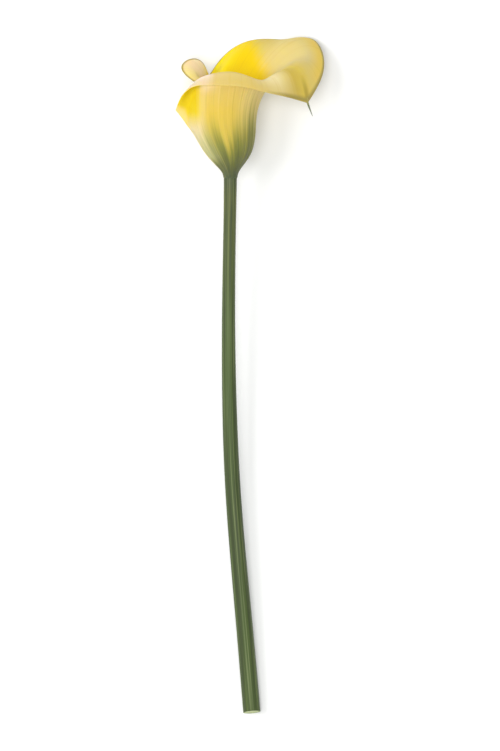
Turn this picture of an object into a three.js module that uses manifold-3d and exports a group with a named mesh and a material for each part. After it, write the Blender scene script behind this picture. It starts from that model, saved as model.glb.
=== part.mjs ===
// One arum lily flower, picked and laid down on a flat surface.
//
// Its three pieces are a leafless green stem, the single yellow spathe that is rolled round the
// top of it into a trumpet, and the spadix, the finger of tiny florets that stands inside.
// Millimetres. +Y runs along the flower from the cut end to the mouth, +Z is up from the surface,
// and the origin is on that surface, under the middle of the flower's bounding box.

import * as THREE from "three";
import { mergeVertices } from "three/addons/utils/BufferGeometryUtils.js";
import Module from "manifold-3d";

const wasm = await Module();
wasm.setup();

// Where the flower lies. The neck is the top of the stem, where the spathe grows out of it, and
// the places below are measured from it. The pitch is the stem's slope there, in degrees.
const NECK_HEIGHT = 21;
const NECK_PITCH = 4;

// The stem, from its cut end to the neck: points on its middle line, x, y and height over the
// surface, and its radius at equal steps along it. The peg at its top holds the spadix.
const STEM_LINE = [
  [10.2, -254.5, 4],
  [7.3, -220, 6.1],
  [4.5, -190, 8.1],
  [1.0, -150, 10.8],
  [-0.6, -110, 13.4],
  [-1.1, -65, 16.45],
  [-0.3, -22, 19.46],
  [0, -0.35, 20.98],
];
const STEM_RADII = [4.1, 4.0, 3.9, 3.75, 3.65, 3.5, 3.2, 3.0, 2.95, 3.3];
const STEM_SIDES = 16;
const STEM_STEPS = 44;
const CUT_SLANT = 0.25;
const PEG = { radius: 1.6, height: 2.5 };

// The spathe's foot and tube: rings round the flower's axis, from the neck up to the throat.
// across is the distance of the ring's middle from the axis, and gap is what holds the layers
// apart where the two margins of the rolled sheet overlap. The throat's rise differs from
// station to station of the rim.
const TUBE = [
  { rise: 0.15, radius: 2.75, across: 0, spread: 0.855, gap: 0.05 },
  { rise: 3.2, radius: 3.45, across: -0.3, spread: 0.845, gap: 0.6 },
  { rise: 10.3, radius: 10.3, across: -0.7, spread: 0.93, gap: 1.3 },
  { rise: 21, radius: 12.8, across: -1.7, spread: 1, gap: 2.8 },
];
const THROAT = { radius: 13.1, across: -2.8, gap: 4.5 };
const TUBE_TURN = -28;

// The rim, station by station, from the outer margin round the front, over the tip, round the
// back and in under the front again. turn is the bearing of the tube below it, in degrees from
// +X towards +Z, and throat is the rise where the tube ends. at is the edge's own place from the
// neck. roll is how far the sheet has turned over where it ends: 0 is straight up, 90 is level
// and 180 is hanging. curl is the length of the turned part.
const RIM = [
  { turn: 178, throat: 24, at: [-25.9, 31.2, 5], roll: 40, curl: 5 },
  { turn: 158, throat: 27, at: [-23.8, 37.4, 12.5], roll: 120, curl: 6.5 },
  { turn: 137, throat: 31, at: [-17.6, 42.8, 19], roll: 150, curl: 7.5 },
  { turn: 113, throat: 34, at: [-7.9, 42.3, 23], roll: 165, curl: 10.5 },
  { turn: 90, throat: 35, at: [1.5, 42, 23.5], roll: 165, curl: 12.5 },
  { turn: 68, throat: 35, at: [9.8, 41, 22.3], roll: 165, curl: 10 },
  { turn: 48, throat: 36, at: [17.5, 38.8, 19], roll: 160, curl: 8.5 },
  { turn: 30, throat: 37, at: [25, 37.5, 15], roll: 160, curl: 15 },
  { turn: 14, throat: 37, at: [31, 36, 10], roll: 168, curl: 20.5 },
  { turn: 0, throat: 37, at: [36.5, 34.5, 4], roll: 170, curl: 25, tip: true },
  { turn: -13, throat: 38, at: [42, 43, -2.5], roll: 162, curl: 19 },
  { turn: -26, throat: 39, at: [46, 54, -9.5], roll: 135, curl: 12 },
  { turn: -40, throat: 41, at: [41, 68, -17], roll: 95, curl: 14 },
  { turn: -56, throat: 44, at: [29, 65, -22], roll: 88, curl: 11 },
  { turn: -74, throat: 46, at: [18, 66.3, -23], roll: 82, curl: 9 },
  { turn: -93, throat: 46, at: [7.5, 65.5, -24], roll: 78, curl: 8 },
  { turn: -112, throat: 44, at: [-2, 60, -23.5], roll: 68, curl: 8 },
  { turn: -131, throat: 40, at: [-8.4, 51.8, -21.2], roll: 50, curl: 7 },
  { turn: -147, throat: 37, at: [-10.6, 47, -14], roll: 22, curl: 6 },
  { turn: -160, throat: 36, at: [-11.8, 54, -8], roll: 12, curl: 9 },
  { turn: -171, throat: 35, at: [-17.5, 57.5, -4.5], roll: 45, curl: 10 },
  { turn: -183, throat: 34, at: [-25.4, 52.5, 0], roll: 90, curl: 9 },
  { turn: -196, throat: 32, at: [-20, 46, 5], roll: 105, curl: 7 },
  { turn: -212, throat: 30, at: [-13, 42.5, 9], roll: 60, curl: 5 },
  { turn: -234, throat: 27, at: [-7, 36, 10.5], roll: 15, curl: 5 },
];
const SHEET = { foot: 1, rim: 0.7, stations: 80, levels: 22 };
const SAMPLE = 1e-3;

// The thread that ends the spathe's tip: it starts inside the sheet and reaches past the edge.
const TAIL = { rootLevel: 0.98, reach: [2.4, -6.2, -2.6], root: 0.36, end: 0.3, sides: 8, steps: 6 };

// The spadix: a tapering finger, covered with florets in staggered rows that wind round it. It
// swells from a narrow foot, and a dome closes its top.
const SPADIX = { foot: 2.5, length: 36, radius: 3.1, taper: 0.38, lean: 2.2 };
const SPADIX_FOOT = { radius: 1.9, swollenAt: 0.18 };
const DOME = { start: 0.93, span: 0.08 };
const FLORETS = { around: 8, rows: 28, height: 0.6, twist: 0.9 };

const SKINS = {
  stem: { color: "#76864a", roughness: 0.55 },
  spathe: { color: "#e6c52a", roughness: 0.5 },
  spadix: { color: "#e8a92c", roughness: 0.7 },
};

const degrees = THREE.MathUtils.degToRad;

// The flower's own frame: Y along the stem's last stretch, with the neck as its origin.
const neckFrame = new THREE.Matrix4()
  .makeRotationX(degrees(NECK_PITCH))
  .setPosition(0, 0, NECK_HEIGHT);

// A uniform cubic B-spline through a row of vectors, held to its two end values.
function blended(values, place) {
  const last = values.length - 1;
  const first = Math.min(Math.max(Math.floor(place), 0), last - 1);
  const f = place - first;
  const weights = [
    (1 - f) ** 3,
    3 * f ** 3 - 6 * f ** 2 + 4,
    -3 * f ** 3 + 3 * f ** 2 + 3 * f + 1,
    f ** 3,
  ];
  const out = new THREE.Vector3();
  weights.forEach((weight, i) => {
    const k = first - 1 + i;
    const value = values[Math.min(Math.max(k, 0), last)].clone();
    if (k < 0) value.multiplyScalar(2).sub(values[1]);
    if (k > last) value.multiplyScalar(2).sub(values[last - 1]);
    out.addScaledVector(value, weight / 6);
  });
  return out;
}

function movePoints(geometry, place) {
  const points = geometry.getAttribute("position");
  const point = new THREE.Vector3();
  for (let i = 0; i < points.count; i++) {
    place(point.fromBufferAttribute(points, i));
    points.setXYZ(i, point.x, point.y, point.z);
  }
  return geometry;
}

function ringPoint(turn, radius, rise, across) {
  const angle = degrees(turn);
  return new THREE.Vector3(across + radius * Math.cos(angle), rise, radius * Math.sin(angle));
}

const tipStation = RIM.findIndex((station) => station.tip);
const lastStation = RIM.length - 1;
const xAxis = new THREE.Vector3(1, 0, 0);
const edges = RIM.map(({ at }) => new THREE.Vector3(...at).applyAxisAngle(xAxis, -degrees(NECK_PITCH)));
const rolls = RIM.map(({ roll, curl }) => new THREE.Vector3(roll, curl, 0));
const walls = RIM.map(({ turn, throat }) => new THREE.Vector3(turn, throat, 0));
const frontEdge = edges.slice(0, tipStation + 1);
const backEdge = edges.slice(tipStation);

// The rim's own curve has a point at the tip, so it is two splines that meet there.
function rimAt(place) {
  return place < tipStation
    ? blended(frontEdge, place)
    : blended(backEdge, place - tipStation);
}

// The middle of the sheet: place runs along the rim from station to station, and level from the
// foot, 0, to the rim, 1. The outer margin's layer lies outside the tube, the inner one inside.
function sheetPoint(place, level) {
  const wall = blended(walls, place);
  const layer = 1 - (2 * place) / lastStation;
  const edge = rimAt(place);
  const controls = TUBE.map((ring) => {
    const turn = TUBE_TURN + (wall.x - TUBE_TURN) * ring.spread;
    return ringPoint(turn, ring.radius + layer * ring.gap, ring.rise, ring.across);
  });
  controls.push(ringPoint(wall.x, THROAT.radius + layer * THROAT.gap, wall.y, THROAT.across));
  const shape = blended(rolls, place);
  const roll = degrees(shape.x);
  const end = new THREE.Vector3(edge.x, 0, edge.z).normalize().multiplyScalar(Math.sin(roll));
  end.y = Math.cos(roll);
  controls.push(blended(edges, place).addScaledVector(end, -shape.y), edge);
  return blended(controls, level * (controls.length - 1));
}

function sheetNormal(place, level) {
  const p = THREE.MathUtils.clamp(place, SAMPLE, lastStation - SAMPLE);
  const v = THREE.MathUtils.clamp(level, SAMPLE, 1 - SAMPLE);
  const along = sheetPoint(p + SAMPLE, v).sub(sheetPoint(p - SAMPLE, v));
  const up = sheetPoint(p, v + SAMPLE).sub(sheetPoint(p, v - SAMPLE));
  return along.cross(up).normalize();
}

// The sheet is a thin box bent into the spathe's shape, with its +Z side outside. Its two sides
// are split into triangles alike, and what would reach below the surface is pressed flat on it.
function sheetGeometry() {
  const box = new THREE.BoxGeometry(1, 1, 1, SHEET.stations, SHEET.levels, 1);
  const inside = box.groups[5];
  for (let i = inside.start; i < inside.start + inside.count; i += 6) {
    const [a, b, d, , c] = box.index.array.slice(i, i + 6);
    box.index.array.set([a, b, c, a, c, d], i);
  }
  return movePoints(box, (point) => {
    const place = (point.x + 0.5) * lastStation;
    const level = point.y + 0.5;
    const thickness = THREE.MathUtils.lerp(SHEET.foot, SHEET.rim, Math.sqrt(level));
    const lowest = point.z > 0 ? 0 : thickness;
    const offset = sheetNormal(place, level).multiplyScalar(point.z * thickness);
    point.copy(sheetPoint(place, level)).add(offset).applyMatrix4(neckFrame);
    point.z = Math.max(point.z, lowest);
  });
}

// The thread at the tip: a tapering rod, bent along a short curve.
function tailGeometry() {
  const tip = sheetPoint(tipStation, 1).applyMatrix4(neckFrame);
  const root = sheetPoint(tipStation, TAIL.rootLevel).applyMatrix4(neckFrame);
  const end = tip.clone().add(new THREE.Vector3(...TAIL.reach));
  const line = new THREE.QuadraticBezierCurve3(root, tip, end);
  const rod = new THREE.CylinderGeometry(TAIL.end, TAIL.root, 1, TAIL.sides, TAIL.steps);
  return bentAlong(rod, line, (y) => y + 0.5);
}

// Bends a shape that stands along Y on to a line. share gives the place on it for each y.
function bentAlong(geometry, line, share) {
  return movePoints(geometry, (point) => {
    const t = share(point.y);
    const tangent = line.getTangentAt(THREE.MathUtils.clamp(t, 0, 1));
    const side = new THREE.Vector3(tangent.y, -tangent.x, 0).normalize();
    const up = new THREE.Vector3().crossVectors(side, tangent);
    const middle = line.getPointAt(THREE.MathUtils.clamp(t, 0, 1));
    const beyond = (t - THREE.MathUtils.clamp(t, 0, 1)) * line.getLength();
    middle.addScaledVector(tangent, beyond);
    point.copy(middle.addScaledVector(side, point.x).addScaledVector(up, point.z));
  });
}

function solid(geometry) {
  geometry.deleteAttribute("normal");
  geometry.deleteAttribute("uv");
  const merged = mergeVertices(geometry);
  return new wasm.Manifold(
    new wasm.Mesh({
      numProp: 3,
      vertProperties: new Float32Array(merged.getAttribute("position").array),
      triVerts: new Uint32Array(merged.index.array),
    }),
  );
}

function geometryOf(body) {
  const mesh = body.getMesh();
  const geometry = new THREE.BufferGeometry();
  geometry.setAttribute("position", new THREE.BufferAttribute(mesh.vertProperties, 3));
  geometry.setIndex(new THREE.BufferAttribute(mesh.triVerts, 1));
  geometry.computeVertexNormals();
  return geometry;
}

function piece(name, geometry) {
  const skin = new THREE.MeshStandardMaterial({ ...SKINS[name], metalness: 0 });
  const mesh = new THREE.Mesh(geometry, skin);
  mesh.name = name;
  return mesh;
}

function spathe() {
  const body = solid(sheetGeometry()).add(solid(tailGeometry()));
  return piece("spathe", geometryOf(body));
}

// The stem is turned as a straight rod with its peg on top, and then bent along its line. Its
// end is cut on a slant.
function stem() {
  const line = new THREE.CatmullRomCurve3(STEM_LINE.map((point) => new THREE.Vector3(...point)));
  const length = line.getLength();
  const radii = STEM_RADII.map((radius) => new THREE.Vector3(radius, 0, 0));
  const profile = [new THREE.Vector2(0, 0)];
  for (let i = 0; i <= STEM_STEPS; i++) {
    const t = i / STEM_STEPS;
    profile.push(new THREE.Vector2(blended(radii, t * (radii.length - 1)).x, t * length));
  }
  profile.push(new THREE.Vector2(PEG.radius, length));
  profile.push(new THREE.Vector2(PEG.radius, length + PEG.height));
  profile.push(new THREE.Vector2(0, length + PEG.height));
  const rod = new THREE.LatheGeometry(profile, STEM_SIDES, Math.PI / STEM_SIDES);
  movePoints(rod, (point) => {
    if (point.y === 0) point.y += CUT_SLANT * (point.z + STEM_RADII[0]);
  });
  bentAlong(rod, line, (y) => y / length);
  movePoints(rod, (point) => {
    point.z = Math.max(point.z, 0);
  });
  return piece("stem", rod);
}

// The spadix's florets are raised from its surface by a formula. Each has its middle on a corner of
// the finger's mesh and touches its neighbours, and a pit lies between every four.
function spadix() {
  const { foot, length, radius, taper, lean } = SPADIX;
  const steps = FLORETS.rows * 2;
  const profile = [new THREE.Vector2(0, 0)];
  for (let i = 0; i <= steps; i++) {
    const t = i / steps;
    const swollen = THREE.MathUtils.smoothstep(t, 0, SPADIX_FOOT.swollenAt);
    const swell = THREE.MathUtils.lerp(SPADIX_FOOT.radius, radius, swollen);
    const dome = Math.sqrt(1 - Math.max(0, (t - DOME.start) / DOME.span) ** 2);
    profile.push(new THREE.Vector2(swell * (1 - taper * t ** 2) * dome, t * length));
  }
  profile.push(new THREE.Vector2(0, length));
  const finger = new THREE.LatheGeometry(profile, FLORETS.around * 4);
  const spin = new THREE.Vector3(0, 1, 0);
  movePoints(finger, (point) => {
    const across = Math.hypot(point.x, point.z);
    if (across === 0) return;
    const t = point.y / length;
    const columns = Math.cos(FLORETS.around * Math.atan2(point.z, point.x));
    const rows = Math.cos(Math.PI * FLORETS.rows * t);
    const relief = FLORETS.height * (Math.sqrt((1 + columns * rows) / 2) - 0.5);
    const grown = 1 + (relief * Math.min(1, across / radius)) / across;
    point.set(point.x * grown, point.y, point.z * grown).applyAxisAngle(spin, FLORETS.twist * t);
  });
  finger.rotateZ(degrees(lean)).translate(0, foot, 0).applyMatrix4(neckFrame);
  return piece("spadix", finger);
}

const flower = new THREE.Group();
flower.name = "arum_lily_flower";
flower.add(stem(), spathe(), spadix());

// The origin is brought under the middle of the bounding box.
const middle = new THREE.Box3().setFromObject(flower, true).getCenter(new THREE.Vector3());
flower.position.set(-middle.x, -middle.y, 0);

export default flower;
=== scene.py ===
import math

import bmesh
import bpy
from mathutils import Matrix, Vector


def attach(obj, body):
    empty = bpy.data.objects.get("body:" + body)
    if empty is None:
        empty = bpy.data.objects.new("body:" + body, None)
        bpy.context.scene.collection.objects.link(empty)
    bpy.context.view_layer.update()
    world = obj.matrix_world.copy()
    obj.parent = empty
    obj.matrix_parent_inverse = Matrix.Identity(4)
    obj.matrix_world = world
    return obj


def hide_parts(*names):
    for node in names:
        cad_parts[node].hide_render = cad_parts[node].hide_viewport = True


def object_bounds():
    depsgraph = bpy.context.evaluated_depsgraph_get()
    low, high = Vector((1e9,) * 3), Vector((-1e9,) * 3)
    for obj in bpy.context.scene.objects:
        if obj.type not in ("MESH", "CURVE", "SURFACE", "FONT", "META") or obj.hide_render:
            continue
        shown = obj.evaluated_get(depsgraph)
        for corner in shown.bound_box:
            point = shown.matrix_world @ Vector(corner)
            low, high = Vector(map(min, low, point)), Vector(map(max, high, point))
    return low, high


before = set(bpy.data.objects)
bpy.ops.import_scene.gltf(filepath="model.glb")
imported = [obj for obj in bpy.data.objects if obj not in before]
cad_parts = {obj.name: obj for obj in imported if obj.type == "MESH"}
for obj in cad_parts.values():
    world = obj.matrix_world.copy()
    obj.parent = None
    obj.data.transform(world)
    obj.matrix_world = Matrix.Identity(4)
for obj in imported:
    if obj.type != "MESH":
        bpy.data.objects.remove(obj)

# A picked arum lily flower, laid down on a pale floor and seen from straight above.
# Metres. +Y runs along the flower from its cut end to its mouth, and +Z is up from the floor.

cad_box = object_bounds()

# Stem
# The leafless flower stalk: a round rod of juicy green tissue with fine lengthwise streaks. It was
# cut on a slant, so its pale pith shows there. The spathe and the spadix grow from its top.

# NECK is where the stem ends and the spathe starts, on the floor, and the stem's line counts from it.
# The line and the radii run from the cut to the neck. The cut face slopes by slant, which the skin
# above it takes up over reach, and the face is a little hollow inside a low lip.
NECK = Vector((-0.00928, 0.09387, 0))
STEM_LINE = [
    Vector((0.0102, -0.2545, 0.0040)),
    Vector((0.0073, -0.2200, 0.0061)),
    Vector((0.0045, -0.1900, 0.0081)),
    Vector((0.0010, -0.1500, 0.0108)),
    Vector((-0.0006, -0.1100, 0.0134)),
    Vector((-0.0011, -0.0650, 0.0164)),
    Vector((-0.0003, -0.0220, 0.0195)),
    Vector((0.0000, 0.0004, 0.0210)),
]
STEM_RADII = [0.0041, 0.0040, 0.0039, 0.00375, 0.00365, 0.0035, 0.0032, 0.0030, 0.00295, 0.0031]
STEM_SIDES = 64
STEM_RINGS = {"cut": 7, "length": 300, "top": 3}
STEM_RIBS = {"count": 11, "depth": 0.00005}
CUT = {"slant": 0.25, "reach": 0.004, "hollow": 0.0003, "lip": 0.00025}

stem_rings = sum(STEM_RINGS.values())


def blended(values, place):
    """A point of the cubic B-spline of values, held to both ends. place counts them from 0."""
    last = len(values) - 1
    first = min(max(math.floor(place), 0), last - 1)
    f = place - first
    row = [2 * values[0] - values[1], *values, 2 * values[last] - values[last - 1]]
    weights = [(1 - f) ** 3, 3 * f**3 - 6 * f**2 + 4, 1 + 3 * (f + f**2 - f**3), f**3]
    out = values[0] * 0
    for weight, value in zip(weights, row[first:]):
        out += value * (weight / 6)
    return out


def flat_grid(across, along):
    """A square grid to be bent into a shape. Its UV map keeps each vertex's share of both ways."""
    grid = bmesh.new()
    grid.loops.layers.uv.new("UVMap")
    bmesh.ops.create_grid(grid, x_segments=across, y_segments=along, size=0.5, calc_uvs=True)
    return grid


def place_all(mesh, place):
    """Puts each vertex of a flat grid where place says for its two shares, 0 to 1."""
    for vertex in mesh.verts:
        vertex.co = place(vertex.co.x + 0.5, vertex.co.y + 0.5)


def close(mesh):
    """Merges the vertices along a bent grid's seam and at its poles, and turns its faces outwards."""
    bmesh.ops.remove_doubles(mesh, verts=mesh.verts, dist=1e-7)
    bmesh.ops.recalc_face_normals(mesh, faces=mesh.faces)


def finished(name, mesh, *skins):
    """The object of a finished bmesh, smooth, with its materials."""
    data = bpy.data.meshes.new(name)
    mesh.to_mesh(data)
    mesh.free()
    for skin in skins:
        data.materials.append(skin.material)
    data.shade_smooth()
    made = bpy.data.objects.new(name, data)
    bpy.context.scene.collection.objects.link(made)
    return made


def rod_point(line, place, turn, radius, push=0):
    """A point on the skin of a rod along line: turn goes round it, from the side up and over."""
    step = 0.001
    middle = blended(line, place)
    tangent = (blended(line, place + step) - blended(line, place - step)).normalized()
    side = Vector((tangent.y, -tangent.x, 0)).normalized()
    up = side.cross(tangent)
    return middle + radius * (math.cos(turn) * side + math.sin(turn) * up) + push * tangent


def colour(red, green, blue):
    """A linear colour from the usual 0 to 255 values."""
    shares = [value / 255 for value in (red, green, blue)]
    linear = [s / 12.92 if s <= 0.04045 else ((s + 0.055) / 1.055) ** 2.4 for s in shares]
    return (*linear, 1)


class Skin:
    """One material's nodes. Each call adds nodes and gives an output, to be used by the next."""

    def __init__(self, name, finish):
        self.material = bpy.data.materials.new(name)
        self.material.use_nodes = True
        self.nodes = self.material.node_tree.nodes
        self.shader = self.nodes["Principled BSDF"]
        for socket, value in finish.items():
            self.feed(self.shader.inputs[socket], value)
        places = self.add("ShaderNodeTexCoord", {}).outputs
        self.uv = places["UV"]
        self.object = places["Object"]
        self.across, self.along, _ = self.split(self.uv)

    def add(self, kind, inputs, **settings):
        node = self.nodes.new(kind)
        for name, value in settings.items():
            setattr(node, name, value)
        for key, value in inputs.items():
            self.feed(node.inputs[key], value)
        return node

    def feed(self, socket, value):
        if isinstance(value, bpy.types.NodeSocket):
            self.material.node_tree.links.new(value, socket)
        else:
            socket.default_value = value

    def split(self, place):
        return self.add("ShaderNodeSeparateXYZ", {0: place}).outputs

    def maths(self, operation, a, b=0.0):
        return self.add("ShaderNodeMath", {0: a, 1: b}, operation=operation).outputs[0]

    def step(self, value, low, high):
        """0 up to low and 1 from high on, or the other way round where low is the higher."""
        ends = {"Value": value, "From Min": low, "From Max": high}
        return self.add("ShaderNodeMapRange", ends, interpolation_type="SMOOTHSTEP").outputs[0]

    def tinted(self, base, tint, *places, strength=1.0):
        """Lays tint over base. Each place is a value, where the tint starts and where it is full."""
        share = strength
        for value, start, full in places:
            share = self.maths("MULTIPLY", share, self.step(value, start, full))
        mixed = {0: share, 6: base, 7: tint}
        return self.add("ShaderNodeMix", mixed, data_type="RGBA").outputs[2]

    def ramp(self, value, *stops):
        """A colour for each value: stops are (value, colour), from 0 to 1."""
        node = self.add("ShaderNodeValToRGB", {0: value})
        elements = node.color_ramp.elements
        while len(elements) < len(stops):
            elements.new(1)
        for element, (position, tint) in zip(elements, stops):
            element.position = position
            element.color = tint
        return node.outputs[0]

    def noise(self, place, stretch, detail=2):
        """Cloudy noise, with its spots per unit of place each way given by stretch."""
        node = self.add("ShaderNodeVectorMath", {0: place, 1: stretch}, operation="MULTIPLY")
        inputs = {"Vector": node.outputs[0], "Scale": 1, "Detail": detail}
        return self.add("ShaderNodeTexNoise", inputs).outputs[0]

    def paint(self, tint):
        self.feed(self.shader.inputs["Base Color"], tint)

    def bump(self, height, distance):
        node = self.add("ShaderNodeBump", {"Height": height, "Distance": distance})
        self.feed(self.shader.inputs["Normal"], node.outputs[0])


def stem_point(across, along):
    """A point of the stem's skin. Its rings run out over the cut, up the length and in at the top."""
    ring = along * stem_rings - STEM_RINGS["cut"]
    share = min(max(ring / STEM_RINGS["length"], 0), 1)
    turn = math.tau * across - math.pi / 2
    smooth_radius = blended(STEM_RADII, share * (len(STEM_RADII) - 1))
    radius = smooth_radius + STEM_RIBS["depth"] * math.cos(STEM_RIBS["count"] * turn)
    place = share * (len(STEM_LINE) - 1)
    from_cut = share * -STEM_LINE[0].y
    slant = CUT["slant"] * smooth_radius
    push = slant * (math.sin(turn) + 1) * max(0, 1 - from_cut / CUT["reach"])
    if ring < 0:
        inward = -ring / STEM_RINGS["cut"]
        push = slant * ((1 - inward) * math.sin(turn) + 1)
        push += CUT["hollow"] * math.sin(inward * math.pi / 2) - CUT["lip"] * (1 - inward) * inward
        radius *= 1 - inward
    if share == 1:
        radius *= 1 - (ring - STEM_RINGS["length"]) / STEM_RINGS["top"]
    point = NECK + rod_point(STEM_LINE, place, turn, radius, push)
    point.z = max(point.z, 0)
    return point


stem_mesh = flat_grid(STEM_SIDES, stem_rings)
for face in stem_mesh.faces:
    on_cut = (face.calc_center_median().y + 0.5) * stem_rings < STEM_RINGS["cut"]
    face.material_index = int(on_cut)
place_all(stem_mesh, stem_point)
close(stem_mesh)

stem_skin = Skin("stem_skin", {"Roughness": 0.5, "Specular IOR Level": 0.22})
# Painted light and shade along the stem: darker around 0.6 of its length, a painted shade, and lighter
# towards the top, painted light against the bloom's shadow there.
length_colour_and_painted_shade = stem_skin.ramp(
    stem_skin.along,
    (0.00, colour(70, 86, 40)),
    (0.60, colour(63, 79, 38)),
    (0.72, colour(72, 88, 45)),
    (0.93, colour(100, 104, 58)),
    (0.99, colour(80, 86, 60)),
)
bands = stem_skin.noise(stem_skin.uv, (9, 2, 1), detail=3)
with_bands = stem_skin.tinted(length_colour_and_painted_shade, colour(56, 66, 38), (bands, 0.42, 0.62))
streaks = stem_skin.noise(stem_skin.uv, (42, 4, 1), detail=4)
with_pale_streaks = stem_skin.tinted(with_bands, colour(104, 115, 72), (streaks, 0.52, 0.26))
stem_skin.paint(stem_skin.tinted(with_pale_streaks, colour(52, 62, 34), (streaks, 0.56, 0.78)))
stem_skin.bump(stem_skin.noise(stem_skin.uv, (90, 12, 1), detail=3), distance=0.00006)

# The pith's colours run out from the middle of the cut to half a ring past its rim, and the ends of
# its vessels show as darker dots.
PITH_RINGS = STEM_RINGS["cut"] + 0.5
stem_pith = Skin("stem_pith", {"Roughness": 0.5})
from_middle = stem_pith.maths("DIVIDE", stem_pith.along, PITH_RINGS / stem_rings)
pith_colour = stem_pith.ramp(
    from_middle,
    (0.00, colour(196, 204, 150)),
    (0.60, colour(178, 190, 126)),
    (0.85, colour(140, 156, 88)),
    (1.00, colour(96, 116, 58)),
)
vessels = {"Vector": stem_pith.object, "Scale": 1500, "Randomness": 0.9}
from_vessel = stem_pith.add("ShaderNodeTexVoronoi", vessels).outputs["Distance"]
stem_pith.paint(stem_pith.tinted(pith_colour, colour(116, 132, 66), (from_vessel, 0.30, 0.16)))
stem_pith.bump(stem_pith.step(from_vessel, 0.1, 0.4), distance=0.0001)

stem = finished("flower_stem", stem_mesh, stem_skin, stem_pith)
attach(stem, "root")
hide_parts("stem")

# Spathe
# The one yellow bract, a thick waxy sheet rolled round the stem's top into a trumpet. Its outer
# margin lies over the inner one, the front rim is rolled outwards, and the lip runs to a point.

# Rings round the flower's axis, up to the throat. rise is a ring's height from the neck, across how
# far its middle lies from the axis, spread its share of the bearings that the rim has above it,
# counted from TUBE_TURN, and gap what holds the overlapping layers apart. Two waves of shallow flutes
# run up the tube, each with its count round the sheet, its start and its depth, and fluted is a
# ring's share of them.
TUBE = [
    {"rise": -0.0006, "radius": 0.00285, "across": 0, "spread": 0.875, "gap": 0.00005, "fluted": 0},
    {"rise": 0.0032, "radius": 0.00345, "across": -0.0003, "spread": 0.87, "gap": 0.0006, "fluted": 0.4},
    {"rise": 0.0103, "radius": 0.01030, "across": -0.0007, "spread": 0.93, "gap": 0.0013, "fluted": 1},
    {"rise": 0.0210, "radius": 0.01280, "across": -0.0017, "spread": 1.00, "gap": 0.0028, "fluted": 0.7},
]
THROAT = {"radius": 0.0131, "across": -0.0028, "gap": 0.0045, "fluted": 0.3}
FLUTES = [(27, 0.0, 0.00014), (43, 1.3, 0.00008)]
TUBE_TURN = -28

# The rim, station by station, from the outer margin round the front, over the tip, round the back
# and in under the front again. Each has its bearing round the tube in degrees, with 90 facing up,
# the rise where the tube ends, the edge's own place from the neck, which isn't pitched as the tube
# is, how far the sheet has turned over there, and the curl's length. TIP is the lip's point.
NECK_RAISED = Vector((0, 0, 0.021))
NECK_PITCH = math.radians(4)
RIM = [
    (178, 0.024, (-0.0259, 0.0312, 0.0050), 40, 0.0050),
    (158, 0.027, (-0.0238, 0.0374, 0.0125), 120, 0.0065),
    (137, 0.031, (-0.0176, 0.0428, 0.0190), 150, 0.0075),
    (113, 0.034, (-0.0079, 0.0423, 0.0230), 165, 0.0105),
    (90, 0.035, (0.0015, 0.0420, 0.0235), 165, 0.0125),
    (68, 0.035, (0.0098, 0.0410, 0.0223), 165, 0.0100),
    (48, 0.036, (0.0175, 0.0388, 0.0190), 160, 0.0085),
    (30, 0.037, (0.0250, 0.0375, 0.0150), 160, 0.0150),
    (14, 0.037, (0.0310, 0.0360, 0.0100), 168, 0.0205),
    (0, 0.037, (0.0365, 0.0345, 0.0040), 170, 0.0250),
    (-13, 0.038, (0.0420, 0.0430, -0.0025), 162, 0.0190),
    (-26, 0.039, (0.0460, 0.0540, -0.0095), 135, 0.0120),
    (-40, 0.041, (0.0410, 0.0680, -0.0170), 95, 0.0140),
    (-56, 0.044, (0.0290, 0.0650, -0.0220), 88, 0.0110),
    (-74, 0.046, (0.0180, 0.0663, -0.0230), 82, 0.0090),
    (-93, 0.046, (0.0075, 0.0655, -0.0240), 78, 0.0080),
    (-112, 0.044, (-0.0020, 0.0600, -0.0235), 68, 0.0080),
    (-131, 0.040, (-0.0084, 0.0518, -0.0212), 50, 0.0070),
    (-147, 0.037, (-0.0106, 0.0470, -0.0140), 22, 0.0060),
    (-160, 0.036, (-0.0118, 0.0540, -0.0080), 12, 0.0090),
    (-171, 0.035, (-0.0175, 0.0575, -0.0045), 45, 0.0100),
    (-183, 0.034, (-0.0254, 0.0525, 0.0000), 90, 0.0090),
    (-196, 0.032, (-0.0200, 0.0460, 0.0050), 105, 0.0070),
    (-212, 0.030, (-0.0130, 0.0425, 0.0090), 60, 0.0050),
    (-234, 0.027, (-0.0070, 0.0360, 0.0105), 15, 0.0050),
]
TIP = 9

# The sheet thins to edge times its thickness over side_taper stations at either margin, and over the
# last rim_taper of its way up to the rim.
SHEET = {"thickness": 0.0009, "edge": 0.5, "side_taper": 0.4, "rim_taper": 0.04}
SHEET_GRID = {"stations": 168, "levels": 56}

neck_frame = Matrix.Translation(NECK + NECK_RAISED) @ Matrix.Rotation(NECK_PITCH, 4, "X")
unpitched = Matrix.Rotation(-NECK_PITCH, 3, "X")
last_station = len(RIM) - 1
walls = [Vector((bearing, wall_top, 0)) for bearing, wall_top, _, _, _ in RIM]
edges = [unpitched @ Vector(place) for _, _, place, _, _ in RIM]
rolls = [Vector((roll, curl, 0)) for _, _, _, roll, curl in RIM]


def smooth(low, high, value):
    """0 up to low and 1 from high on, or the other way round where low is the higher."""
    share = min(max((value - low) / (high - low), 0), 1)
    return share * share * (3 - 2 * share)


def ring_point(turn, radius, rise, across):
    angle = math.radians(turn)
    return Vector((across + radius * math.cos(angle), rise, radius * math.sin(angle)))


def rim_point(station):
    """The rim's curve has a point at the tip, so it is two splines that meet there."""
    if station < TIP:
        return blended(edges[: TIP + 1], station)
    return blended(edges[TIP:], station - TIP)


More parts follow.
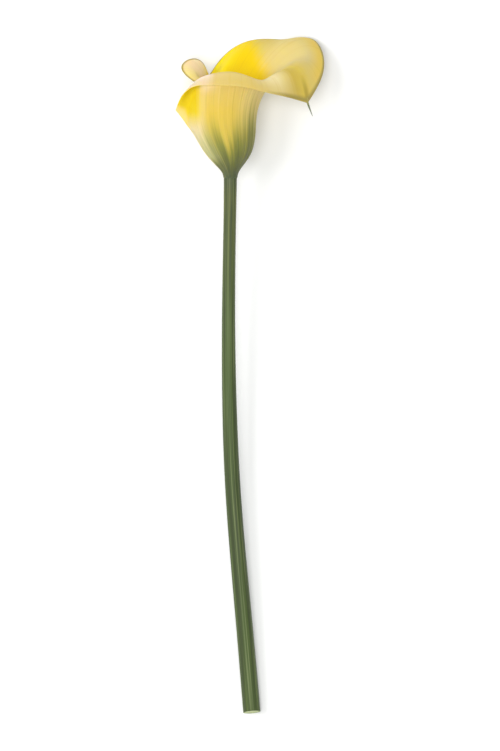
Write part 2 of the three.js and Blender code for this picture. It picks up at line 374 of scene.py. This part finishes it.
def sheet_point(station, level):
    """The middle of the sheet, from the neck: level is 0 at the foot and 1 at the rim."""
    bearing, wall_top, _ = blended(walls, station)
    share = station / last_station
    outward = 1 - 2 * share
    flute = sum(depth * math.cos(math.tau * count * share + start) for count, start, depth in FLUTES)
    controls = []
    for ring in TUBE:
        turn = TUBE_TURN + (bearing - TUBE_TURN) * ring["spread"]
        radius = ring["radius"] + outward * ring["gap"] + flute * ring["fluted"]
        controls.append(ring_point(turn, radius, ring["rise"], ring["across"]))
    radius = THROAT["radius"] + outward * THROAT["gap"] + flute * THROAT["fluted"]
    controls.append(ring_point(bearing, radius, wall_top, THROAT["across"]))
    edge = rim_point(station)
    roll, curl, _ = blended(rolls, station)
    heading = Vector((edge.x, 0, edge.z)).normalized() * math.sin(math.radians(roll))
    heading.y = math.cos(math.radians(roll))
    controls += [blended(edges, station) - heading * curl, edge]
    return blended(controls, level * (len(controls) - 1))


def spathe_point(across, along):
    """A point of the sheet in its place. Where it would dip into the floor, it rests on it."""
    point = neck_frame @ sheet_point(across * last_station, along)
    point.z = max(point.z, SHEET["thickness"] / 2)
    return point


spathe_mesh = flat_grid(SHEET_GRID["stations"], SHEET_GRID["levels"])
thickness_layer = spathe_mesh.verts.layers.deform.new()
for vertex in spathe_mesh.verts:
    to_side = (0.5 - abs(vertex.co.x)) * last_station / SHEET["side_taper"]
    to_rim = (0.5 - vertex.co.y) / SHEET["rim_taper"]
    full = smooth(0, 1, min(to_side, to_rim))
    vertex[thickness_layer][0] = SHEET["edge"] + (1 - SHEET["edge"]) * full
place_all(spathe_mesh, spathe_point)
crease_layer = spathe_mesh.verts.layers.float.new("crease_vert")
tip_place = neck_frame @ sheet_point(TIP, 1)
tip_vertex = min(spathe_mesh.verts, key=lambda vertex: (vertex.co - tip_place).length)
tip_vertex[crease_layer] = 1

# Both sides are tinted by the sheet's own shares: across, from the outer margin at 0 over the tip at
# 0.375 to the inner margin at 1, and along, from the foot to the rim. The veins are fine in both.
WAXY = {
    "Roughness": 0.5,
    "Specular IOR Level": 0.18,
    "Subsurface Weight": 0.5,
    "Subsurface Radius": (1, 0.7, 0.1),
    "Subsurface Scale": 0.0015,
}
VEIN_SPOTS = (190, 1.6, 1)
DARK_EDGE = colour(158, 144, 74)


def neck_places(skin):
    """How far to the right of the neck and how far up from it, in metres."""
    from_neck = skin.add("ShaderNodeVectorMath", {0: skin.object, 1: NECK}, operation="SUBTRACT")
    right, up, _ = skin.split(from_neck.outputs[0])
    return right, up


def waver(skin, noise, reach):
    """The noise, which runs from 0 to 1, as a shift of up to half of reach to either side."""
    return skin.maths("MULTIPLY", skin.maths("SUBTRACT", noise, 0.5), reach)


# The outside is green at the foot, and the green runs up in streaks. rise is a share of RISE_SPAN, and
# GREEN_REACH gives the rise that the green comes to, for places across the sheet. The streaks shift it
# by their waver, more and more from one rise to the other. The upper left has a painted glow, bright
# yellow colour standing in for the light that comes through the sheet: the glow starts and is full so
# far to the left of the neck and so far up from it, and its edge wavers with the veins.
RISE_SPAN = 0.05
GREEN_REACH = [
    (0.000, 0.30),
    (0.070, 0.34),
    (0.110, 0.50),
    (0.140, 0.44),
    (0.160, 0.30),
    (0.185, 0.40),
    (0.240, 0.60),
    (0.330, 0.62),
    (0.600, 0.46),
    (1.000, 0.36),
]
STREAKS = {"spots": (75, 0.8, 1), "waver": 0.9, "rises": (0, 0.22)}
PAINTED_GLOW = {"left": (-0.0116, -0.0164), "up": (0.021, 0.031), "waver": 0.003}

outside = Skin("spathe_outside", WAXY)
right, up = neck_places(outside)
across, along = outside.across, outside.along
rise = outside.maths("DIVIDE", up, RISE_SPAN)
green_reach = outside.ramp(across, *((place, (reach,) * 4) for place, reach in GREEN_REACH))
streaks = outside.noise(outside.uv, STREAKS["spots"])
streak_share = outside.step(rise, *STREAKS["rises"])
streak_shift = outside.maths("MULTIPLY", waver(outside, streaks, STREAKS["waver"]), streak_share)
green_place = outside.maths("ADD", outside.maths("DIVIDE", rise, green_reach), streak_shift)
foot_colour = outside.ramp(
    green_place,
    (0.00, colour(78, 87, 62)),
    (0.12, colour(84, 91, 58)),
    (0.30, colour(96, 100, 54)),
    (0.60, colour(126, 126, 56)),
    (1.00, colour(158, 148, 62)),
)
# The lighter stop at the wall's top is painted light that lifts the shadow under the rolled-out band.
wall_colour_and_painted_light = outside.ramp(
    rise,
    (0.30, colour(192, 170, 70)),
    (0.60, colour(200, 173, 66)),
    (0.82, colour(198, 172, 86)),
    (0.86, colour(214, 190, 106)),
)
side_colour = outside.ramp(across, (0.07, colour(212, 198, 164)), (0.18, colour(214, 196, 128)))
# A pale outer margin on the left, spread wider to carry a painted highlight near its top.
pale_left_and_painted_highlight = outside.tinted(wall_colour_and_painted_light, side_colour, (across, 0.12, 0.07), strength=0.7)
with_pale_sides = outside.tinted(pale_left_and_painted_highlight, side_colour, (across, 0.17, 0.26), strength=0.7)
with_foot = outside.tinted(foot_colour, with_pale_sides, (green_place, 0.55, 1.30))
with_pale_foot = outside.tinted(
    with_foot,
    colour(186, 184, 134),
    (across, 0.14, 0.04),
    (rise, 0.50, 0.25),
    (rise, 0.10, 0.20),
    strength=0.6,
)
veins = outside.noise(outside.uv, VEIN_SPOTS)
with_dark_veins = outside.tinted(with_pale_foot, colour(128, 124, 54), (veins, 0.50, 0.72), strength=0.22)
with_pale_veins = outside.tinted(with_dark_veins, colour(224, 206, 136), (veins, 0.46, 0.26), strength=0.2)
# Painted light on the upper left of the wall, just under the band: it lifts the band's shadow and stands
# in for a highlight.
with_painted_light_top = outside.tinted(
    with_pale_veins, colour(224, 206, 182), (across, 0.15, 0.10), (rise, 0.74, 0.85), strength=0.4
)
painted_glow_place = outside.maths("ADD", right, waver(outside, veins, PAINTED_GLOW["waver"]))
# Painted glow: bright yellow standing in for light coming through the sheet.
with_painted_glow = outside.tinted(
    with_painted_light_top, colour(207, 182, 16), (painted_glow_place, *PAINTED_GLOW["left"]), (up, *PAINTED_GLOW["up"])
)
with_rim_edge = outside.tinted(with_painted_glow, DARK_EDGE, (along, 0.975, 0.995), (across, 0.22, 0.32))
outside.paint(outside.tinted(with_rim_edge, colour(218, 194, 112), (across, 0.022, 0.008)))
outside.bump(outside.maths("ADD", veins, streaks), distance=0.00012)

# The inside changes colour round the rim, with painted highlights and shade among its tones, and is deep
# yellow on the left of its back wall. That tint starts and is full at two sloping lines, given by how far
# right of the neck they cross its level.
DEEP = {"slope": 0.38, "lines": (0.041, 0.031), "waver": 0.006}

inside = Skin("spathe_inside", WAXY)
right, up = neck_places(inside)
across, along = inside.across, inside.along
# Partly the sheet's own tone and partly painted light: the pale pink stops from 0.07 to 0.11 are a painted
# highlight on the rolled-out band, the pale stop at 0.29 a painted highlight along the lip's ridge, the
# darker stops at 0.345 and 0.375 painted shade under the ridge towards the tip, and the light stop at 0.81
# painted light on the ear against the shadow of its curl.
round_colour_and_painted_light = inside.ramp(
    across,
    (0.000, colour(212, 192, 100)),
    (0.070, colour(230, 215, 206)),
    (0.110, colour(220, 202, 184)),
    (0.130, colour(204, 182, 120)),
    (0.170, colour(206, 185, 112)),
    (0.210, colour(211, 189, 117)),
    (0.290, colour(226, 212, 160)),
    (0.345, colour(204, 179, 78)),
    (0.375, colour(214, 190, 80)),
    (0.430, colour(208, 192, 128)),
    (0.520, colour(212, 192, 116)),
    (0.600, colour(206, 184, 84)),
    (0.780, colour(220, 196, 90)),
    (0.810, colour(248, 228, 180)),
    (0.860, colour(232, 208, 162)),
    (0.910, colour(222, 206, 126)),
)
broad_veins = inside.noise(inside.uv, (60, 1.2, 1))
sloped = inside.maths("ADD", right, inside.maths("MULTIPLY", up, DEEP["slope"]))
deep_place = inside.maths("ADD", sloped, waver(inside, broad_veins, DEEP["waver"]))
deep_colour = inside.ramp(across, (0.60, colour(228, 196, 0)), (0.68, colour(240, 216, 14)))
with_deep_wall = inside.tinted(
    round_colour_and_painted_light, deep_colour, (deep_place, *DEEP["lines"]), (across, 0.38, 0.44), (across, 0.80, 0.77)
)
with_gold_strip = inside.tinted(
    with_deep_wall,
    colour(230, 196, 50),
    (across, 0.39, 0.43),
    (across, 0.56, 0.50),
    (along, 0.87, 0.96),
    strength=0.6,
)
# Painted shade: the rolled-out band darkens towards its edge, as if lit from over its crest.
with_painted_band_shade = inside.tinted(
    with_gold_strip, colour(190, 168, 84), (along, 0.88, 0.99), (across, 0.37, 0.33), strength=0.55
)
from_tip = inside.maths("ABSOLUTE", inside.maths("SUBTRACT", across, TIP / last_station))
with_tip_lines = inside.tinted(
    with_painted_band_shade, colour(150, 130, 46), (from_tip, 0.012, 0.001), (along, 0.88, 0.98), strength=0.6
)
throat_colour = inside.ramp(
    along,
    (0.00, colour(122, 130, 46)),
    (0.25, colour(200, 180, 30)),
    (0.50, colour(232, 200, 6)),
)
with_throat = inside.tinted(throat_colour, with_tip_lines, (along, 0.45, 0.70))
veins = inside.noise(inside.uv, VEIN_SPOTS)
with_veins = inside.tinted(with_throat, colour(190, 156, 40), (veins, 0.50, 0.72), strength=0.16)
inside.paint(inside.tinted(with_veins, DARK_EDGE, (along, 0.972, 0.993), (across, 0.22, 0.32)))
inside.bump(veins, distance=0.00008)

spathe = finished("flower_spathe", spathe_mesh, outside, inside)
spathe.vertex_groups.new(name="thickness")
wall = spathe.modifiers.new("wall", "SOLIDIFY")
wall.thickness = SHEET["thickness"]
wall.offset = 0
wall.vertex_group = "thickness"
wall.material_offset = 1
finer = spathe.modifiers.new("finer", "SUBSURF")
finer.levels = finer.render_levels = 1
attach(spathe, "root")
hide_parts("spathe")

# Tail
# The dry dark thread that the spathe's midrib runs out into past the tip. It is part of the
# spathe's own tissue, thinner and harder than the sheet, and tapers to nothing.

# The thread starts inside the sheet, at root_level of the way up to the tip, and runs on from the tip
# by shares of its reach. Its radii hold in full from one share of its length to the other.
TAIL = {"root_level": 0.97, "reach": Vector((0.0024, -0.0062, -0.0026)), "shares": (0, 0.2, 0.6, 1)}
TAIL_RADII = [0.0003, 0.00052, 0.00048, 0.00038, 0.0003, 0.00022, 0.00008]
TAIL_FULL = {"from": 0.08, "to": 0.97}
TAIL_GRID = {"sides": 12, "rings": 24}

tail_root = neck_frame @ sheet_point(TIP, TAIL["root_level"])
tail_line = [tail_root, *(tip_place + TAIL["reach"] * share for share in TAIL["shares"])]


def tail_point(across, along):
    radius = blended(TAIL_RADII, along * (len(TAIL_RADII) - 1))
    radius *= smooth(0, TAIL_FULL["from"], along) * smooth(1, TAIL_FULL["to"], along)
    return rod_point(tail_line, along * (len(tail_line) - 1), math.tau * across, radius)


tail_mesh = flat_grid(TAIL_GRID["sides"], TAIL_GRID["rings"])
place_all(tail_mesh, tail_point)
close(tail_mesh)

tail_skin = Skin("tail_skin", {"Roughness": 0.6})
tail_colour = tail_skin.ramp(
    tail_skin.along,
    (0.10, colour(176, 160, 78)),
    (0.40, colour(98, 108, 70)),
    (0.75, colour(88, 98, 78)),
    (1.00, colour(110, 116, 100)),
)
tail_skin.paint(tail_colour)
tail_skin.bump(tail_skin.noise(tail_skin.object, (4000, 4000, 4000)), distance=0.00005)

tail = finished("spathe_tail", tail_mesh, tail_skin)
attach(tail, "root")
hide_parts("spathe")

# Spadix
# The finger of florets inside the trumpet. The lowest fifth is pale green ovaries, and golden
# anthers, each with a groove across it, cover the rest. All of them sit on one fleshy core.

# The core's skin lies depth under the finger's outline, and the florets' middles lie on it. Each kind
# of floret grows from one share of the finger's length to another and winds round it by the golden
# angle. half is half a floret's width and half its height, and groove how much of its height is cut
# away along its middle, or added where that is negative.
SPADIX = {"foot": 0.0025, "length": 0.036, "radius": 0.0031, "taper": 0.38, "lean": math.radians(2.2)}
SPADIX_FOOT = {"radius": 0.0019, "swollen_at": 0.18}
DOME = {"start": 0.93, "span": 0.08}
CORE = {"sides": 24, "rings": 60, "depth": 0.0004}
ANTHERS = {"count": 780, "from": 0.2, "to": 1.01, "half": (0.00056, 0.00042), "groove": 0.35}
OVARIES = {"count": 84, "from": 0.004, "to": 0.21, "half": (0.00075, 0.0007), "groove": -0.25}
GROOVE_WIDTH = 0.3
GOLDEN_ANGLE = math.radians(137.508)

spadix_frame = neck_frame @ Matrix.Translation((0, SPADIX["foot"], 0))
spadix_frame @= Matrix.Rotation(SPADIX["lean"], 4, "Z")


def finger_radius(share):
    """The finger's radius at a share of its length: it swells from a thin foot and ends in a dome."""
    swollen = smooth(0, SPADIX_FOOT["swollen_at"], share)
    swell = SPADIX_FOOT["radius"] + (SPADIX["radius"] - SPADIX_FOOT["radius"]) * swollen
    closing = min(max(0, (share - DOME["start"]) / DOME["span"]), 1)
    return swell * (1 - SPADIX["taper"] * share**2) * math.sqrt(1 - closing**2)


def finger_point(turn, share, depth):
    """A point at a share of the finger's length, that depth under its outline."""
    radius = max(finger_radius(share) - depth, 0)
    across = Vector((math.cos(turn), 0, math.sin(turn)))
    return spadix_frame @ (across * radius + Vector((0, share * SPADIX["length"], 0)))


def core_point(across, along):
    """The core's first and last rings close on its axis."""
    radius_share = min(along * CORE["rings"], (1 - along) * CORE["rings"], 1)
    depth = CORE["depth"] + (1 - radius_share) * SPADIX["radius"]
    return finger_point(math.tau * across, along, depth)


def floret_pattern(kind):
    """The mesh of one floret at the origin: a small ball with a groove or a ridge over its top."""
    single = bmesh.new()
    bmesh.ops.create_icosphere(single, subdivisions=2, radius=1)
    half_width, half_height = kind["half"]
    for vertex in single.verts:
        x, y, z = vertex.co
        if z > 0:
            z *= 1 - kind["groove"] * math.exp(-((x / GROOVE_WIDTH) ** 2))
        vertex.co = Vector((x * half_width, y * half_width, z * half_height))
    pattern = bpy.data.meshes.new("floret")
    single.to_mesh(pattern)
    single.free()
    return pattern


def florets(kind):
    """A bmesh of all florets of one kind."""
    pattern = floret_pattern(kind)
    made = bmesh.new()
    step = 0.001
    for number in range(kind["count"]):
        share = kind["from"] + (kind["to"] - kind["from"]) * (number + 0.5) / kind["count"]
        turn = GOLDEN_ANGLE * number
        middle = finger_point(turn, share, CORE["depth"])
        above = finger_point(turn, share + step, CORE["depth"])
        below = finger_point(turn, share - step, CORE["depth"])
        up = (above - below).normalized()
        side = (spadix_frame.to_3x3() @ Vector((-math.sin(turn), 0, math.cos(turn)))).normalized()
        turned = Matrix((side, up, side.cross(up))).transposed().to_4x4()
        floret = pattern.copy()
        floret.transform(Matrix.Translation(middle) @ turned)
        made.from_mesh(floret)
        bpy.data.meshes.remove(floret)
    bpy.data.meshes.remove(pattern)
    bmesh.ops.recalc_face_normals(made, faces=made.faces)
    return made


core_mesh = flat_grid(CORE["sides"], CORE["rings"])
place_all(core_mesh, core_point)
close(core_mesh)

core_skin = Skin("spadix_core", {"Roughness": 0.6})
core_skin.paint(
    core_skin.ramp(core_skin.along, (0.15, colour(170, 170, 90)), (0.30, colour(190, 130, 30)))
)
anther_skin = Skin("anthers", {"Roughness": 0.75})
pollen = anther_skin.noise(anther_skin.object, (2500, 2500, 2500))
anther_skin.paint(
    anther_skin.tinted(colour(224, 158, 36), colour(250, 214, 96), (pollen, 0.35, 0.65))
)
anther_skin.bump(pollen, distance=0.0001)
ovary_skin = Skin("ovaries", {"Roughness": 0.5})
mottle = ovary_skin.noise(ovary_skin.object, (900, 900, 900))
ovary_skin.paint(
    ovary_skin.tinted(colour(166, 180, 96), colour(212, 214, 140), (mottle, 0.30, 0.70))
)
ovary_skin.bump(mottle, distance=0.00006)

core = finished("spadix_core", core_mesh, core_skin)
anthers = finished("spadix_anthers", florets(ANTHERS), anther_skin)
ovaries = finished("spadix_ovaries", florets(OVARIES), ovary_skin)
for part in (core, anthers, ovaries):
    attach(part, "root")
    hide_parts("spadix")

# Floor, light and camera
# A plain pale floor under the flower, one broad soft light almost overhead, two weak low ones from the
# left and from past the cut end, and a long lens straight above that takes in the whole flower.

FLOOR = {"size": 3, "drop": 0.0002}
ROOM_LIGHT = 0.55
VIEW = {"height": 4, "filled": 0.9}

floor_mesh = bmesh.new()
bmesh.ops.create_grid(floor_mesh, x_segments=1, y_segments=1, size=FLOOR["size"] / 2)
bmesh.ops.translate(floor_mesh, verts=floor_mesh.verts, vec=(0, 0, -FLOOR["drop"]))
floor_skin = Skin("floor", {"Roughness": 0.9})
floor_skin.paint(colour(236, 236, 234))
floor = finished("floor", floor_mesh, floor_skin)


def soft_light(name, place, size, power):
    lamp = bpy.data.lights.new(name, "AREA")
    lamp.shape = "DISK"
    lamp.size = size
    lamp.energy = power
    light = bpy.data.objects.new(name, lamp)
    bpy.context.scene.collection.objects.link(light)
    light.location = place
    light.rotation_euler = (-Vector(place)).to_track_quat("-Z", "Y").to_euler()


soft_light("front_light", place=(-0.3, -0.3, 4.4), size=2.4, power=112)
soft_light("left_light", place=(-0.85, 0.25, 1.1), size=0.7, power=10)
soft_light("low_light", place=(0.2, -0.85, 1.2), size=0.9, power=3)

world = bpy.data.worlds.new("studio")
bpy.context.scene.world = world
world.use_nodes = True
background = world.node_tree.nodes["Background"]
background.inputs["Color"].default_value = colour(240, 242, 245)
background.inputs["Strength"].default_value = ROOM_LIGHT

camera_data = bpy.data.cameras.new("camera")
half_height = (cad_box[1].y - cad_box[0].y) / 2 / VIEW["filled"]
camera_data.lens = camera_data.sensor_width / 2 * VIEW["height"] / half_height
camera = bpy.data.objects.new("camera", camera_data)
camera.location = (0, 0, VIEW["height"])
bpy.context.scene.collection.objects.link(camera)
bpy.context.scene.camera = camera
bpy.context.scene.view_settings.view_transform = "Standard"
